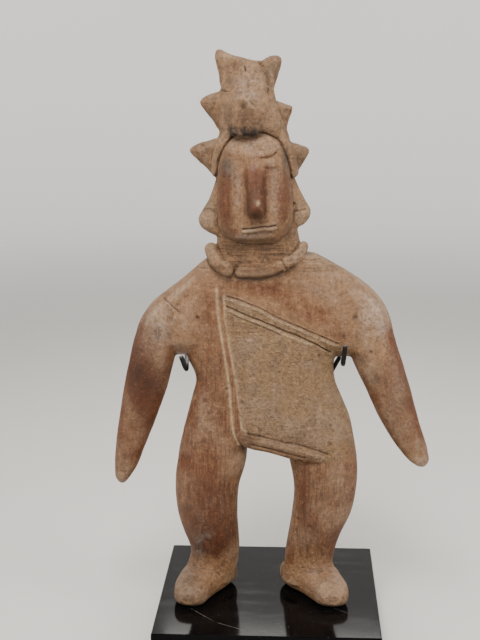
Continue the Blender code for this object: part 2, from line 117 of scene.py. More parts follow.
# Side spikes and ear ornaments: height and outer edge, from the lower end upwards, on one inner edge
LEFT_UPPER_SPIKE = [(256.5, -21), (259.6, -24.2), (265, -27.8), (270.2, -31.9), (274.7, -34), (278.4, -28.4),
                    (280, -23)]
RIGHT_UPPER_SPIKE = [(256, 10.5), (258.8, 12), (265, 13.5), (270, 15.2), (272.4, 14.6), (274, 9), (275.3, 6)]
LEFT_LOWER_SPIKE = [(234.6, -26.4), (238.5, -30), (243.8, -36), (246.6, -38.6), (249, -39.5),
                    (251.6, -36.4), (254, -29.5), (255.2, -24.5)]
RIGHT_LOWER_SPIKE = [(233.5, 16), (238.5, 18.9), (243.8, 22), (248, 24.2), (250.4, 23), (252.2, 18.5),
                     (253.4, 14)]
LEFT_EAR = [(203, -25), (205.4, -30.5), (208.4, -33.9), (212, -35.2), (216.9, -32.9), (222, -30),
            (227.7, -27.7), (235.5, -25)]
RIGHT_EAR = [(206.5, 17), (211, 22.6), (214, 25), (217, 25.4), (222.3, 22.5), (227.7, 19.6), (234.5, 16.4)]

# Feet: rows of place along the foot from the heel to the toes, left, right, underneath, top
LEFT_FOOT = [(13, -36, -20, 0, 12), (9, -39.5, -15.4, -1, 15), (0, -43.6, -17.2, -1, 16.4),
             (-10, -47.2, -23, -1, 14.6), (-20, -48.2, -28.4, -1, 12.4), (-27.2, -46.4, -31.6, 0, 10.4),
             (-30.6, -43, -35, 2, 8)]
RIGHT_FOOT = [(13, 16, 32, 0, 12), (9, 11.2, 37.5, -1, 15), (0, 13, 42.4, -1, 16.6),
              (-10, 21.4, 46.4, -1, 14.6), (-19, 27.4, 48.6, -1, 12.4), (-24.8, 31.4, 47.2, 0, 10.4),
              (-28, 35, 43.6, 2, 8)]

# Rolls laid on the clay: points across, back and up
LEFT_COLLAR = [(-28, -5, 196.2), (-26.2, -8.6, 192.4), (-22.8, -12, 188.4), (-19.2, -13.2, 186.4)]
MIDDLE_COLLAR = [(-11.8, -13.4, 185), (-3.5, -13.6, 185.2), (4.5, -13.4, 186.4), (10.6, -13, 188.2)]
RIGHT_COLLAR = [(12.4, -13, 189.4), (17, -11.4, 192.4), (20.4, -8.4, 195.4), (21.8, -4, 198)]
COLLAR_RADII = (3.8, 2.9, 2.7)
LEFT_HOOD_BAND = [(-24.4, -7, 238), (-23.4, -8.4, 246), (-20.2, -10, 254.5), (-13.6, -10.6, 262.6)]
RIGHT_HOOD_BAND = [(15.4, -6.4, 238), (14, -8.4, 246), (10.2, -10, 255), (2.4, -10.6, 262.4)]
HOOD_BAND_RADIUS = 3.3
HEM = [(-13, -7, 97), (-9.4, -9.6, 92), (4, -10.6, 88.4), (18, -11, 84.8), (33, -9.2, 81.4), (42, -4, 79.6)]
HEM_RADIUS = 4.4

# Lines drawn in the clay of the front: points across and up
EDGE_OUTER = [(-24.6, 176), (-23.8, 160), (-21.2, 143), (-19.2, 130.5), (-17, 110), (-15.2, 94), (-12.8, 88)]
EDGE_INNER = [(-20.9, 171.6), (-19.8, 158), (-17.4, 143), (-15.2, 129.5), (-13, 114.8), (-11.2, 98.4)]
BAND_TOP = [(-19, 171.6), (-3.5, 166.2), (7.8, 160.4), (24.4, 153), (41.6, 145.3)]
BAND_FOOT = [(-19.4, 166), (-10.7, 162.4), (-3.1, 159.2), (5.5, 155.4), (26.8, 146.3), (36.8, 140.3)]
BAND_UNDERLINE = [(-15.3, 161.2), (-3.1, 156), (9.5, 150.8)]
HEM_TOP = [(-11.2, 98.2), (-8.6, 95.4), (-2.4, 94), (11.6, 90.9), (26.9, 87.2), (36.2, 84.4)]
HEM_FOOT = [(-4.9, 89.2), (6, 86.9), (17.2, 84.1), (23.5, 82.4), (31, 80.5)]
MOUTH = [(-10, 209.8), (-7.5, 209.8), (-3.7, 210.2), (0.8, 210.7), (3.9, 211), (6.8, 211.6)]
RIGHT_BROW = [(-0.4, 246.9), (2, 246.9), (4.2, 247.4), (6, 248.4), (7.3, 249.4)]
RIGHT_LOWER_LID = [(0.6, 242), (3.1, 241.3), (6.3, 241.2), (8.4, 241.8)]
HOOD_CREASE_LEFT = [(-13.6, 258.4), (-15.8, 256.6), (-19.1, 252.9), (-22.3, 247.2), (-23.9, 241.9),
                    (-24.9, 236)]
HOOD_CREASE_RIGHT = [(-1.6, 259.4), (4.1, 257.9), (8.5, 255.1), (11.4, 249.4), (13.2, 244.7), (14.3, 241),
                     (15, 235)]
TRUNK_CREASE_RIGHT = [(-1.5, 294.6), (1.5, 289.9), (3, 285.5), (3.8, 279)]
TRUNK_CREASE_LEFT = [(-15.6, 294), (-17, 289), (-18.2, 284), (-19, 279)]
BROKEN_RIM = [(-13.6, 275.9), (-11.4, 276.7), (-9.2, 275.8), (-7, 273.5), (-3.9, 271)]
PANEL_SIDE = [(43, 152), (42.6, 136), (45, 124), (49, 112), (53, 98), (56, 80)]
SHOULDER_CRACK = [(-53.6, 170), (-49.1, 166), (-45.3, 162.6)]
CROWN_NICK = [(-9.9, 292.8), (-9.4, 290.6)]
SPIKE_NICK = [(-22.6, 280.5), (-19.6, 280.3)]
UNDER_COLLAR = [(-14, 182.4), (-8, 181.2), (0, 181.4), (7, 183.4), (10.6, 185.6)]
FINE_LINES = (EDGE_OUTER, EDGE_INNER, BAND_TOP, BAND_FOOT, BAND_UNDERLINE, HEM_TOP, HEM_FOOT,
              SHOULDER_CRACK)


def soft_step(values, low, high):
    """Rise smoothly from 0 at the low value to 1 at the high one."""
    share = np.clip((values - low) / (high - low), 0, 1)
    return share * share * (3 - 2 * share)


def smooth_rows(rows, steps):
    """Fill in rows on a smooth curve through the given ones; the first column says how far along they are."""
    rows = np.array(rows, dtype=float)
    slopes = np.gradient(rows, rows[:, 0], axis=0)
    filled = []
    for i in range(len(rows) - 1):
        span = rows[i + 1, 0] - rows[i, 0]
        for t in np.arange(steps) / steps:
            start = (1 + 2 * t) * (1 - t) ** 2 * rows[i] + t * (1 - t) ** 2 * span * slopes[i]
            end = t ** 2 * (3 - 2 * t) * rows[i + 1] - t ** 2 * (1 - t) * span * slopes[i + 1]
            filled.append(start + end)
    filled.append(rows[-1])
    return filled


def smooth_path(points, steps):
    """Fill in points on a smooth curve through the given ones."""
    points = np.array(points, dtype=float)
    chords = np.linalg.norm(np.diff(points, axis=0), axis=1)
    along = np.concatenate([[0], np.cumsum(chords)])
    return [row[1:] for row in smooth_rows(np.column_stack([along, points]), steps)]


def skin_rings(bm, rings):
    """Close a row of rings into one solid."""
    rings = [[bm.verts.new(point) for point in ring] for ring in rings]
    for first, second in zip(rings, rings[1:]):
        for k in range(len(first)):
            after = (k + 1) % len(first)
            bm.faces.new((first[k], first[after], second[after], second[k]))
    bm.faces.new(rings[0])
    bm.faces.new(rings[-1])


def add_form(bm, rows, squareness=2.5, lying=False):
    """Add a form whose sections are rounded boxes, upright or lying along the figure's depth."""
    rings = []
    for place, left, right, near, far in smooth_rows(rows, RINGS_PER_ROW):
        ring = []
        for k in range(RING_SIDES):
            turn = math.tau * k / RING_SIDES
            on_circle = (math.cos(turn), math.sin(turn))
            across, deep = (math.copysign(abs(v) ** (2 / squareness), v) for v in on_circle)
            across = (left + right) / 2 + across * (right - left) / 2
            deep = (near + far) / 2 + deep * (far - near) / 2
            ring.append(Vector((across, place, deep) if lying else (across, deep, place)))
        rings.append(ring)
    skin_rings(bm, rings)


def add_fin(bm, edge, inner, front, back):
    """Add a flat spike or ornament that stands out sideways from the head."""
    rows = [(place, min(outer, inner), max(outer, inner), front, back) for place, outer in edge]
    add_form(bm, rows, squareness=2)


def ring_about(centre, heading, radius):
    """A ring of points round a line that runs along the heading."""
    upwards = Vector((0, 0.35, 1)) if abs(heading.z) < 0.9 else Vector((0, 1, 0))
    across = heading.cross(upwards).normalized()
    other = heading.cross(across)
    turns = [math.tau * (k + 0.5) / ROLL_SIDES for k in range(ROLL_SIDES)]
    return [centre + (across * math.cos(turn) + other * math.sin(turn)) * radius for turn in turns]


def add_roll(bm, points, radius):
    """Add a roll of clay along a smooth path, with rounded ends."""
    path = [Vector(point) for point in smooth_path(points, RINGS_PER_ROW)]
    last = len(path) - 1
    headings = [(path[min(i + 1, last)] - path[max(i - 1, 0)]).normalized() for i in range(last + 1)]
    shrink = [math.radians(angle) for angle in (80, 65, 45, 25, 10)]
    rings = [(path[0] - headings[0] * radius * math.sin(a), headings[0], radius * math.cos(a))
             for a in shrink]
    rings += [(centre, heading, radius) for centre, heading in zip(path, headings)]
    rings += [(path[-1] + headings[-1] * radius * math.sin(a), headings[-1], radius * math.cos(a))
              for a in reversed(shrink)]
    skin_rings(bm, [ring_about(*ring) for ring in rings])


def add_head(bm):
    for rows in (HEAD, LEFT_HORN, RIGHT_HORN):
        add_form(bm, rows)
    add_form(bm, FACE, squareness=3)
    for rows in (NOSE, TRUNK, SNOUT):
        add_form(bm, rows, squareness=2.2)
    add_form(bm, CREST_SLOPE, squareness=1.9)
    add_form(bm, SNOUT_SIDE, squareness=1.9)
    add_fin(bm, LEFT_UPPER_SPIKE, -12, -4, 9)
    add_fin(bm, RIGHT_UPPER_SPIKE, -4, -4, 9)
    add_fin(bm, LEFT_LOWER_SPIKE, -12, -6.4, 8)
    add_fin(bm, RIGHT_LOWER_SPIKE, 2, -6.4, 8)
    add_fin(bm, LEFT_EAR, -16, -7, 5)
    add_fin(bm, RIGHT_EAR, 6, -7, 5)
    for band in (LEFT_HOOD_BAND, RIGHT_HOOD_BAND):
        add_roll(bm, band, HOOD_BAND_RADIUS)


def add_body(bm):
    add_form(bm, TORSO, squareness=2.6)
    add_form(bm, SHOULDERS, squareness=3)
    for rows in (LEFT_ARM, RIGHT_ARM, LEFT_LEG, RIGHT_LEG, NECK):
        add_form(bm, rows, squareness=2.2)
    for rows in (LEFT_FOOT, RIGHT_FOOT):
        add_form(bm, rows, squareness=2.9, lying=True)
    for collar, radius in zip((LEFT_COLLAR, MIDDLE_COLLAR, RIGHT_COLLAR), COLLAR_RADII):
        add_roll(bm, collar, radius)
    add_roll(bm, HEM, HEM_RADIUS)


def settled_mesh(thing, name):
    """The mesh that an object's modifiers give, as a new mesh; the object goes."""
    bpy.context.view_layer.update()
    evaluated = thing.evaluated_get(bpy.context.evaluated_depsgraph_get())
    mesh = bpy.data.meshes.new_from_object(evaluated)
    mesh.name = name
    old = thing.data
    bpy.data.objects.remove(thing)
    bpy.data.meshes.remove(old)
    return mesh


def object_of(mesh, name):
    thing = bpy.data.objects.new(name, mesh)
    bpy.context.scene.collection.objects.link(thing)
    return thing


def joined_forms():
    """All the forms pressed into one body of clay, softened where they meet."""
    bm = bmesh.new()
    add_body(bm)
    add_head(bm)
    bmesh.ops.recalc_face_normals(bm, faces=bm.faces)
    mesh = bpy.data.meshes.new("forms")
    bm.to_mesh(mesh)
    bm.free()
    forms = object_of(mesh, "forms")
    join = forms.modifiers.new("one_body", "REMESH")
    join.mode = "VOXEL"
    join.voxel_size = CLAY_VOXEL
    soften = forms.modifiers.new("soften", "SMOOTH")
    soften.iterations = CLAY_SMOOTHING
    return settled_mesh(forms, "joined")


def lumps(points, size, seed):
    """Smooth noise between -1 and 1, whose lumps are about one size, or as long as each of three sizes."""
    grid = np.random.default_rng(seed).uniform(-1, 1, (NOISE_CELLS,) * 3)
    place = points / np.array(size)
    cell = np.floor(place).astype(int)
    part = place - cell
    part = part * part * (3 - 2 * part)
    total = np.zeros(len(points))
    for corner in itertools.product((0, 1), repeat=3):
        x, y, z = ((cell[:, i] + corner[i]) % NOISE_CELLS for i in range(3))
        weight = np.prod([np.abs(1 - corner[i] - part[:, i]) for i in range(3)], axis=0)
        total += grid[x, y, z] * weight
    return total


def distance_to(places, line):
    """How far each place, across and up, is from a smooth line; far places count as very far."""
    path = np.array(smooth_path(line, LINE_STEPS))
    distances = np.full(len(places), 1e3)
    close = np.all((places > path.min(0) - LINE_REACH) & (places < path.max(0) + LINE_REACH), axis=1)
    places = places[close]
    nearest = np.full(len(places), 1e3)
    for start, end in zip(path, path[1:]):
        run = end - start
        share = np.clip(((places - start) @ run) / (run @ run), 0, 1)
        nearest = np.minimum(nearest, np.linalg.norm(places - start - share[:, None] * run, axis=1))
    distances[close] = nearest
    return distances


def shifted(line, across, up):
    return [(x + across, z + up) for x, z in line]


class Clay:
    """The figure's surface while it is worked: its points and the ways they face."""

    def __init__(self, mesh):
        count = len(mesh.vertices)
        self.points = np.empty(count * 3)
        mesh.vertices.foreach_get("co", self.points)
        self.points = self.points.reshape(-1, 3)
        self.facing = np.empty(count * 3)
        mesh.vertex_normals.foreach_get("vector", self.facing)
        self.facing = self.facing.reshape(-1, 3)
        self.front = soft_step(-self.facing[:, 1], 0.05, 0.4)
        self.start = self.points.copy()
        # Places across and up, with the slight waver and uneven depth of hand-drawn lines
        waver = np.column_stack([lumps(self.start, 6, 11), lumps(self.start, 6, 12)]) * 0.25
        self.seen = self.start[:, [0, 2]] + waver
        self.uneven = 1 + 0.35 * lumps(self.start, 4, 21)

    def push(self, amount):
        """Push the surface outwards, or inwards where the amount is negative."""
        self.points += self.facing * amount[:, None]

    def groove(self, line, width, depth, lip=0.0):
        """Draw a groove on the front, with the lips of clay that the tool turned up beside it."""
        far = distance_to(self.seen, line)
        cut = np.exp(-(far / width) ** 2) * depth
        turned_up = np.exp(-((far - 1.7 * width) / (0.7 * width)) ** 2) * lip
        self.push((turned_up - cut) * self.uneven * self.front)

    def ridge(self, line, width, height):
        self.groove(line, width, -height)

    def dab(self, centre, size, height, turn=0.0, power=2.0):
        """Raise or hollow a soft oval of the front."""
        self.push(oval(self.start, centre, size, turn, power) * height * self.front)


def oval(points, centre, size, turn=0.0, power=2.0):
    """A soft oval seen from the front, 1 in its middle; a higher power gives it a flatter middle."""
    across, up = points[:, 0] - centre[0], points[:, 2] - centre[1]
    c, s = math.cos(math.radians(turn)), math.sin(math.radians(turn))
    reach = np.sqrt(((across * c + up * s) / size[0]) ** 2 + ((up * c - across * s) / size[1]) ** 2)
    return np.exp(-reach ** power)


def shape_by_hand(clay):
    """The slow unevenness of clay that was pressed and scraped by hand."""
    p = clay.start
    clay.push(0.3 * lumps(p, 19, 1) + 0.12 * lumps(p, 7, 2))
    scraped = lumps(p, (3.4, 3.4, 30), 3) * 0.07 + lumps(p, (1.6, 1.6, 16), 4) * 0.03
    clay.push(scraped * (1 - soft_step(p[:, 2], 176, 184)))


def work_garment(clay):
    clay.groove(EDGE_OUTER, 0.45, 0.42, lip=0.14)
    clay.groove(EDGE_INNER, 0.42, 0.4, lip=0.14)
    clay.groove(BAND_TOP, 0.45, 0.6, lip=0.08)
    clay.ridge(shifted(BAND_TOP, -0.5, -1.5), 0.75, 0.36)
    clay.groove(BAND_FOOT, 0.48, 0.75, lip=0.08)
    clay.ridge(shifted(BAND_FOOT[:5], -0.5, -1.6), 0.75, 0.36)
    clay.groove(BAND_UNDERLINE, 0.5, 0.28)
    clay.groove(HEM_TOP[1:], 0.45, 0.65, lip=0.08)
    clay.ridge(shifted(HEM_TOP[1:], -0.4, -2.6), 1.5, 0.45)
    clay.groove(HEM_FOOT[:4], 0.5, 0.4, lip=0.08)
    clay.ridge(shifted(HEM_FOOT[:4], -0.4, -2), 1.0, 0.3)


def work_face(clay):
    clay.dab((-13.4, 230), (3.4, 14), -1.0)
    clay.dab((6, 230), (3.2, 14), -1.0)
    clay.dab((-9, 252.6), (14.5, 6), 0.6, power=6)
    clay.dab((3.9, 244.3), (4.6, 2.6), 1.0)
    clay.dab((-17.4, 243), (3.6, 3), -0.4)
    clay.dab((-2.8, 221.4), (3.2, 3.4), 0.7)
    clay.ridge(shifted(RIGHT_BROW, 0, 1.9), 1.5, 0.4)
    clay.groove(RIGHT_BROW, 0.6, 0.65)
    clay.groove(RIGHT_LOWER_LID, 0.8, 0.25)
    clay.dab((7.9, 250.4), (0.8, 0.8), -0.6)
    clay.ridge(shifted(MOUTH, 0, 1.4), 0.9, 0.22)
    clay.ridge(shifted(MOUTH, 0.2, -1.5), 0.9, 0.45)
    clay.groove(MOUTH, 0.38, 0.7)
    clay.groove(shifted(MOUTH[1:5], 0.4, -3.6), 1.3, 0.6)
    clay.dab((-18.4, 226), (2.4, 16), 0.35)
    clay.dab((11, 226), (2.2, 16), 0.35)
    smoothed = oval(clay.start, (-4, 228), (19, 27), power=8) * clay.front
    clay.push(smoothed * (0.14 * lumps(clay.start, (2.6, 2.6, 12), 36) + 0.1 * lumps(clay.start, 2.4, 37)))


def work_ears(clay):
    clay.dab((-29.9, 211.7), (4.6, 4.9), 0.9, power=5)
    clay.groove([(-33, 217), (-29.4, 218.2), (-26.4, 217)], 0.7, 0.4)
    clay.dab((20.4, 213.2), (4.2, 4.4), 0.8, power=5)
    clay.groove([(16.9, 217.3), (22, 218)], 0.5, 0.5)
    clay.dab((16.3, 220.8), (0.8, 0.8), -0.7)
    rough = oval(clay.start, (-29.9, 211.7), (5.4, 5.6), power=5)
    rough = rough + oval(clay.start, (20.4, 213.2), (5, 5), power=5)
    clay.push(rough * 0.22 * lumps(clay.start, 1.6, 38) * clay.front)


def work_headdress(clay):
    p = clay.start
    clay.groove(HOOD_CREASE_LEFT, 0.7, 0.8)
    clay.groove(HOOD_CREASE_RIGHT, 0.55, 0.8)
    clay.groove(TRUNK_CREASE_RIGHT, 1.3, 1.1)
    clay.groove(TRUNK_CREASE_LEFT, 2.2, 0.9)
    clay.groove(CROWN_NICK, 0.45, 0.5)
    clay.groove(SPIKE_NICK, 0.35, 0.4)
    facets = lumps(p, (4, 4, 8), 31) * soft_step(p[:, 2], 270, 278)
    clay.push(facets * 0.5 * clay.front)
    clay.ridge([(-10.3, 288.4), (-9.9, 281.4)], 1.1, 0.6)
    clay.dab((-4.4, 283.6), (3.6, 4), -0.9, power=5)
    clay.groove([(-7.8, 287.4), (-7.8, 280.6)], 0.9, 0.3)
    broken = oval(p, (-8.6, 265.4), (8.2, 8.4), power=5) * soft_step(-p[:, 1], 12, 16)
    clay.push(broken * (0.45 * lumps(p, 3.4, 32) + 0.3 * lumps(p, 1.5, 33) - 0.5))
    clay.ridge(BROKEN_RIM, 1.1, 0.85)
    clay.dab((-10.4, 273), (2.3, 1.9), -1.6)
    clay.dab((-5.4, 269.4), (2.4, 2), -0.6)
    crest = soft_step(p[:, 2], 232, 240) * (1 - 0.6 * oval(p, (-5, 235), (19, 25), power=8))
    clay.push(crest * (0.2 * lumps(p, 3, 34) + 0.12 * lumps(p, 1.4, 35)))


def work_collar(clay):
    p = clay.start
    neck = soft_step(p[:, 2], 182, 188) * (1 - soft_step(p[:, 2], 200, 204)) * clay.front
    clay.push(neck * (0.14 * lumps(p, (11, 11, 1.2), 41) + 0.12 * lumps(p, (7, 7, 0.8), 43)))
    for line in (LEFT_COLLAR, MIDDLE_COLLAR, RIGHT_COLLAR):
        clay.ridge([(x, z + 3.2) for x, _, z in line], 1.5, 0.7)
    clay.groove([(10.6, 191.4), (11.8, 189), (12.6, 187)], 0.6, 0.6)
    clay.groove([(12.8, 191.4), (16.6, 194.4), (19.4, 197.4)], 0.6, 0.25)
    rough = oval(p, (16.8, 193), (6, 4.4), -30, 4) * clay.front
    clay.push(rough * (0.35 * lumps(p, 1.9, 42) - 0.1))
    pitted = oval(p, (-21.6, 187.4), (4.4, 3), 35, 4) * clay.front
    clay.push(pitted * 0.4 * np.minimum(lumps(p, 1.7, 44), 0))
    clay.groove(UNDER_COLLAR, 0.8, 0.6)
    clay.groove([(-30.8, 190.6), (-27.8, 187), (-22, 183.4), (-17.4, 182)], 0.7, 0.4)


def wear_down(clay):
    """Pits, chips and the crack, where the photograph shows them, and small scattered pits besides."""
    p = clay.start
    clay.groove(SHOULDER_CRACK, 0.35, 0.45)
    for x, z, wide, deep in ((-35.2, 159.9, 0.8, 0.5), (49.7, 160.6, 1.1, 0.4), (58.8, 141.6, 0.8, 0.4),
                             (-19.3, 120, 0.7, 0.5), (43.8, 150, 0.7, 0.4), (-29.9, 131.6, 0.6, 0.4),
                             (37.4, 89.6, 1.0, 0.4), (30.7, 139, 0.8, 0.4), (16.4, 221.3, 0.9, 0.6),
                             (5.4, 104.7, 0.9, 0.4), (-32.5, 10.2, 0.9, 0.5), (26.9, 42, 0.9, 0.4),
                             (19.6, 45.4, 0.9, 0.4)):
        clay.dab((x, z), (wide, wide), -deep)
    random = np.random.default_rng(7)
    pits = np.zeros(len(p))
    for centre in p[random.integers(0, len(p), PIT_COUNT)]:
        wide, deep = random.uniform(0.5, 1.1), random.uniform(0.08, 0.3)
        close = np.flatnonzero((np.abs(p[:, 2] - centre[2]) < 3) & (np.abs(p[:, 0] - centre[0]) < 3))
        pits[close] += deep * np.exp(-(np.linalg.norm(p[close] - centre, axis=1) / wide) ** 2)
    clay.push(-pits)
    toes = oval(p, (-42, 4), (9, 8), power=4) + oval(p, (41, 3), (9, 7), power=4)
    fingers = oval(p, (88, 78), (5, 7), power=4) + oval(p, (-79, 66), (5, 7), power=4)
    clay.push((toes + fingers) * 0.22 * np.minimum(lumps(p, 2.2, 51), 0))


def fine_places(clay):
    """Where the mesh stays fine: the front of the head and neck, and along the drawn lines."""
    p = clay.start
    near = (p[:, 2] > 186) & (p[:, 2] < 297) & (np.abs(p[:, 0] + 4.5) < 22)
    for line in FINE_LINES:
        near |= distance_to(clay.seen, line) < 2.4
    return near & (clay.front > 0.2)


def blend_crest(mesh):
    """Smooth the slopes beside the headdress's trunk into it, above the snout's lower edge."""
    clay = Clay(mesh)
    share = oval(clay.points, (-8.5, 277), (17, 15), power=8) * clay.front
    share = share * soft_step(clay.points[:, 2], 261, 267)
    inside = np.flatnonzero(share > 0.01)
    index = np.full(len(share), -1)
    index[inside] = np.arange(len(inside))
    edges = index[mesh_edges(mesh)]
    edges = edges[np.all(edges >= 0, axis=1)]
    counts = np.maximum(np.bincount(edges.ravel(), minlength=len(inside)), 1)
    places, share = clay.points[inside], share[inside][:, None]
    for _ in range(BLEND_ROUNDS):
        places = places + (neighbours_mean(places, edges, counts) - places) * share
    clay.points[inside] = places
    mesh.vertices.foreach_set("co", clay.points.ravel())
    mesh.update()


def relieved_mesh(mesh):
    """Work the joined clay by hand, thin its faces and set its soles flat."""
    blend_crest(mesh)
    clay = Clay(mesh)
    for work in (shape_by_hand, work_garment, work_face, work_ears, work_headdress, work_collar, wear_down):
        work(clay)
    clay.points[:, 2] = np.maximum(clay.points[:, 2], 0)
    mesh.vertices.foreach_set("co", clay.points.ravel())
    mesh.update()
    worked = object_of(mesh, "worked")
    coarser = worked.vertex_groups.new(name="coarser")
    coarser.add(np.flatnonzero(~fine_places(clay)).tolist(), 1.0, "REPLACE")
    thin = worked.modifiers.new("thin", "DECIMATE")
    thin.vertex_group = "coarser"
    thin.ratio = min(1, CLAY_TRIANGLES / (2 * len(mesh.polygons)))
    thin.use_collapse_triangulate = True
    return settled_mesh(worked, "clay_figure")


def side_of(places, line):
    """How far each place is above a line that runs across."""
    path = np.array(smooth_path(line, LINE_STEPS))
    return places[:, 1] - np.interp(places[:, 0], path[:, 0], path[:, 1])


def right_of(places, line):
    """How far each place is to the right of a line that runs up."""
    path = np.array(smooth_path(line, LINE_STEPS))[::-1]
    return places[:, 0] - np.interp(places[:, 1], path[:, 1], path[:, 0])


def neighbours_mean(values, edges, counts):
    """Average what each point's neighbours hold."""
    total = np.zeros_like(values)
    for a, b in ((0, 1), (1, 0)):
        for i in range(values.shape[1]):
            total[:, i] += np.bincount(edges[:, a], values[edges[:, b], i], len(values))
    return total / counts[:, None]


def mesh_edges(mesh):
    edges = np.empty(len(mesh.edges) * 2, dtype=np.int32)
    mesh.edges.foreach_get("vertices", edges)
    return edges.reshape(-1, 2)


def hollowness(mesh, clay):
    """How far each point lies in a hollow, or on an edge where it is negative, in millimetres."""
    edges = mesh_edges(mesh)
    counts = np.maximum(np.bincount(edges.ravel(), minlength=len(clay.points)), 1)
    smoothed = clay.points
    for _ in range(HOLLOW_ROUNDS):
        smoothed = neighbours_mean(smoothed, edges, counts)
    return np.sum((smoothed - clay.points) * clay.facing, axis=1)


def daubs(points, places):
    """Soft ovals of colour seen from the front: across, up, half width, half height, turn and strength."""
    total = np.zeros(len(points))
    for x, z, wide, high, turn, strength in places:
        total = np.maximum(total, strength * oval(points, (x, z), (wide, high), turn, 2.6))
    return total


# Where the front's colour departs from plain tan clay: across, up, half width, half height, turn, strength
RED_SLIP = [(4, 175, 24, 6, -8, 0.8), (26, 163, 18, 7, -22, 0.85), (38, 156, 12, 8, -20, 0.55),
            (-32, 273, 4, 5, 0, 0.6), (14.5, 270, 2, 4, 0, 0.7), (-38, 248, 3, 3, 0, 0.5),
            (23, 249, 3, 3, 0, 0.4), (8, 297, 3, 3, 0, 0.6), (-25, 300, 3, 3, 0, 0.5),
            (-13, 291, 4, 5, 0, 0.3), (-27, 150, 10, 34, 4, 0.5), (-25, 110, 11, 26, 5, 0.45),
            (-32, 72, 16, 26, 0, 0.85), (-24, 42, 9, 18, 0, 1.0), (-40, 46, 6, 9, 0, 0.9),
            (-65, 116, 9, 20, 12, 1.0), (-73, 88, 8, 18, 8, 0.7), (-17, 132, 1.6, 40, 6, 0.4),
            (23, 62, 5, 18, -3, 0.9), (27, 44, 8, 8, 0, 0.8), (32, 72, 5, 4, 0, 0.8),
            (49, 78, 5, 22, 0, 0.7), (38, 40, 10, 16, 0, 0.5), (16, 23, 3, 8, 0, 0.8),
            (70, 140, 6, 24, -14, 0.5), (84, 105, 5, 24, -14, 0.6), (-3.4, 236, 6.4, 11, 0, 1.0),
            (-8.3, 239, 1.6, 6, 0, 1.0), (-20, 226, 4.4, 18, 0, 1.0), (11.4, 226, 3.6, 17, 0, 0.95),
            (-3, 222, 5.6, 8, 0, 1.0), (-14.6, 207.8, 3, 2, 0, 0.8), (8, 207, 6, 3.5, 10, 0.6)]
# Soot, fire clouds and chips, and painted shadow: under the nose, on its sides and beside the headdress's
# trunk
SOOT_AND_SHADE = [(-67, 124, 7, 9, 20, 1.1), (-71, 126, 4, 9, 10, 1.6), (-60, 118, 5, 6, 0, 0.4),
        (-35.2, 159.9, 1, 1, 0, 1.1), (49.7, 160.6, 1.5, 1.5, 0, 0.9), (58.8, 141.6, 1.1, 1.1, 0, 1.0),
        (-19.3, 120, 0.9, 0.9, 0, 1.1), (43.8, 150, 0.9, 0.9, 0, 0.8), (-10.6, 273, 2.2, 1.8, 0, 0.5),
        (-72, 134, 5, 10, 8, 0.4), (-40, 47, 5, 7, 0, 0.5), (-22, 44, 5, 12, 0, 0.4),
        (52, 137, 4, 4, 0, 0.6), (59.5, 126.5, 5, 5, 0, 0.6), (23.5, 56, 3, 14, 0, 0.5),
        (27, 42, 4, 4, 0, 0.6), (-57, 150.7, 2, 2.6, 0, 1.1), (-50.8, 149.4, 1.6, 2, 0, 1.0),
        (-18, 241.5, 4.2, 5.4, 0, 0.8), (-8.5, 259.8, 9.8, 3.4, 0, 1.4), (-14.2, 260.4, 4, 3, 0, 1.7),
        (-17.8, 269, 3.2, 5, 0, 0.6), (-3.6, 218.6, 4.4, 2.6, 0, 0.9), (-6.6, 222, 1.8, 5, 0, 0.8),
        (2, 221, 1.2, 4, 0, 0.5), (-8.4, 267, 7, 6, 0, 0.5), (-18.8, 286, 1.6, 9, 0, 0.35),
        (2.8, 286, 1.5, 8, -10, 0.45), (-4, 203, 13, 2.2, 0, 0.6), (11.8, 244, 1.8, 8, 0, 0.6),
        (3.8, 291, 4, 5, 0, 0.35), (-20.4, 170, 3, 2.6, 0, 0.6), (-4, 206.6, 9, 2, 4, 0.45),
        (-36.5, 25, 3, 5, 0, 0.5), (22, 178, 8, 4, 0, 0.3), (-33, 222, 2.4, 5, 20, 0.4)]
# Grey deposits, and a cool painted sheen on the left shoulder
ASH_AND_SHEEN = [(-31, 35.6, 4.4, 1.8, 25, 1.0), (-35.4, 31.8, 1.6, 2.4, 0, 0.9), (-18, 241.8, 3.6, 4.8, 0, 0.4),
       (-28.4, 221, 2.2, 4, 20, 0.5), (12, 245, 1.6, 7, 0, 0.5), (4, 291, 3.6, 4.6, 0, 0.4),
       (-42, 10, 7, 7, 0, 0.5), (-37, 24, 4, 4, 0, 0.45), (-4, 206.4, 8, 1.8, 4, 0.3),
       (-58, 153, 7, 9, 20, 0.16)]
# Pale deposits, wear and chips, and painted sheen on the shoulders, on the cheeks beside the nose and on the
# headdress's trunk
PALE_AND_SHEEN = [(-54, 160, 12, 9, 35, 0.5), (-64, 148, 6, 14, 20, 0.6), (-57, 154, 7, 9, 20, 1.3),
        (62, 160, 10, 12, -35, 1.3), (-4, 206.6, 10, 2.2, 4, 1.1), (30, 176, 14, 5, -28, 0.5),
        (74, 128, 5, 18, -14, 0.35), (-13, 231, 2.4, 12, 0, 0.5), (6.8, 227, 2.8, 13, 0, 0.7),
        (4, 244.6, 4, 2.4, 0, 0.3), (-5, 253, 13, 5, 0, 0.9), (-5, 147.5, 3, 2, 0, 0.4),
        (24.2, 134, 3, 2, 0, 0.5), (5.4, 105.5, 2, 2, 0, 0.5), (-40, 12, 10, 10, 0, 0.25),
        (35, 12, 12, 9, 0, 0.5), (-31, 35.5, 6, 3, 25, 0.9), (38, 73, 2, 2, 0, 0.6),
        (81, 99, 3, 5, 0, 0.4), (88, 77, 3, 3, 0, 0.6), (-8, 283, 7, 9, 0, 0.8),
        (-10.2, 284.4, 1.8, 4, 0, 0.7), (20, 193, 5, 4, 0, 0.4), (-22, 50, 1.5, 6, 0, 0.5),
        (-29, 152, 5, 4, 0, 0.3)]
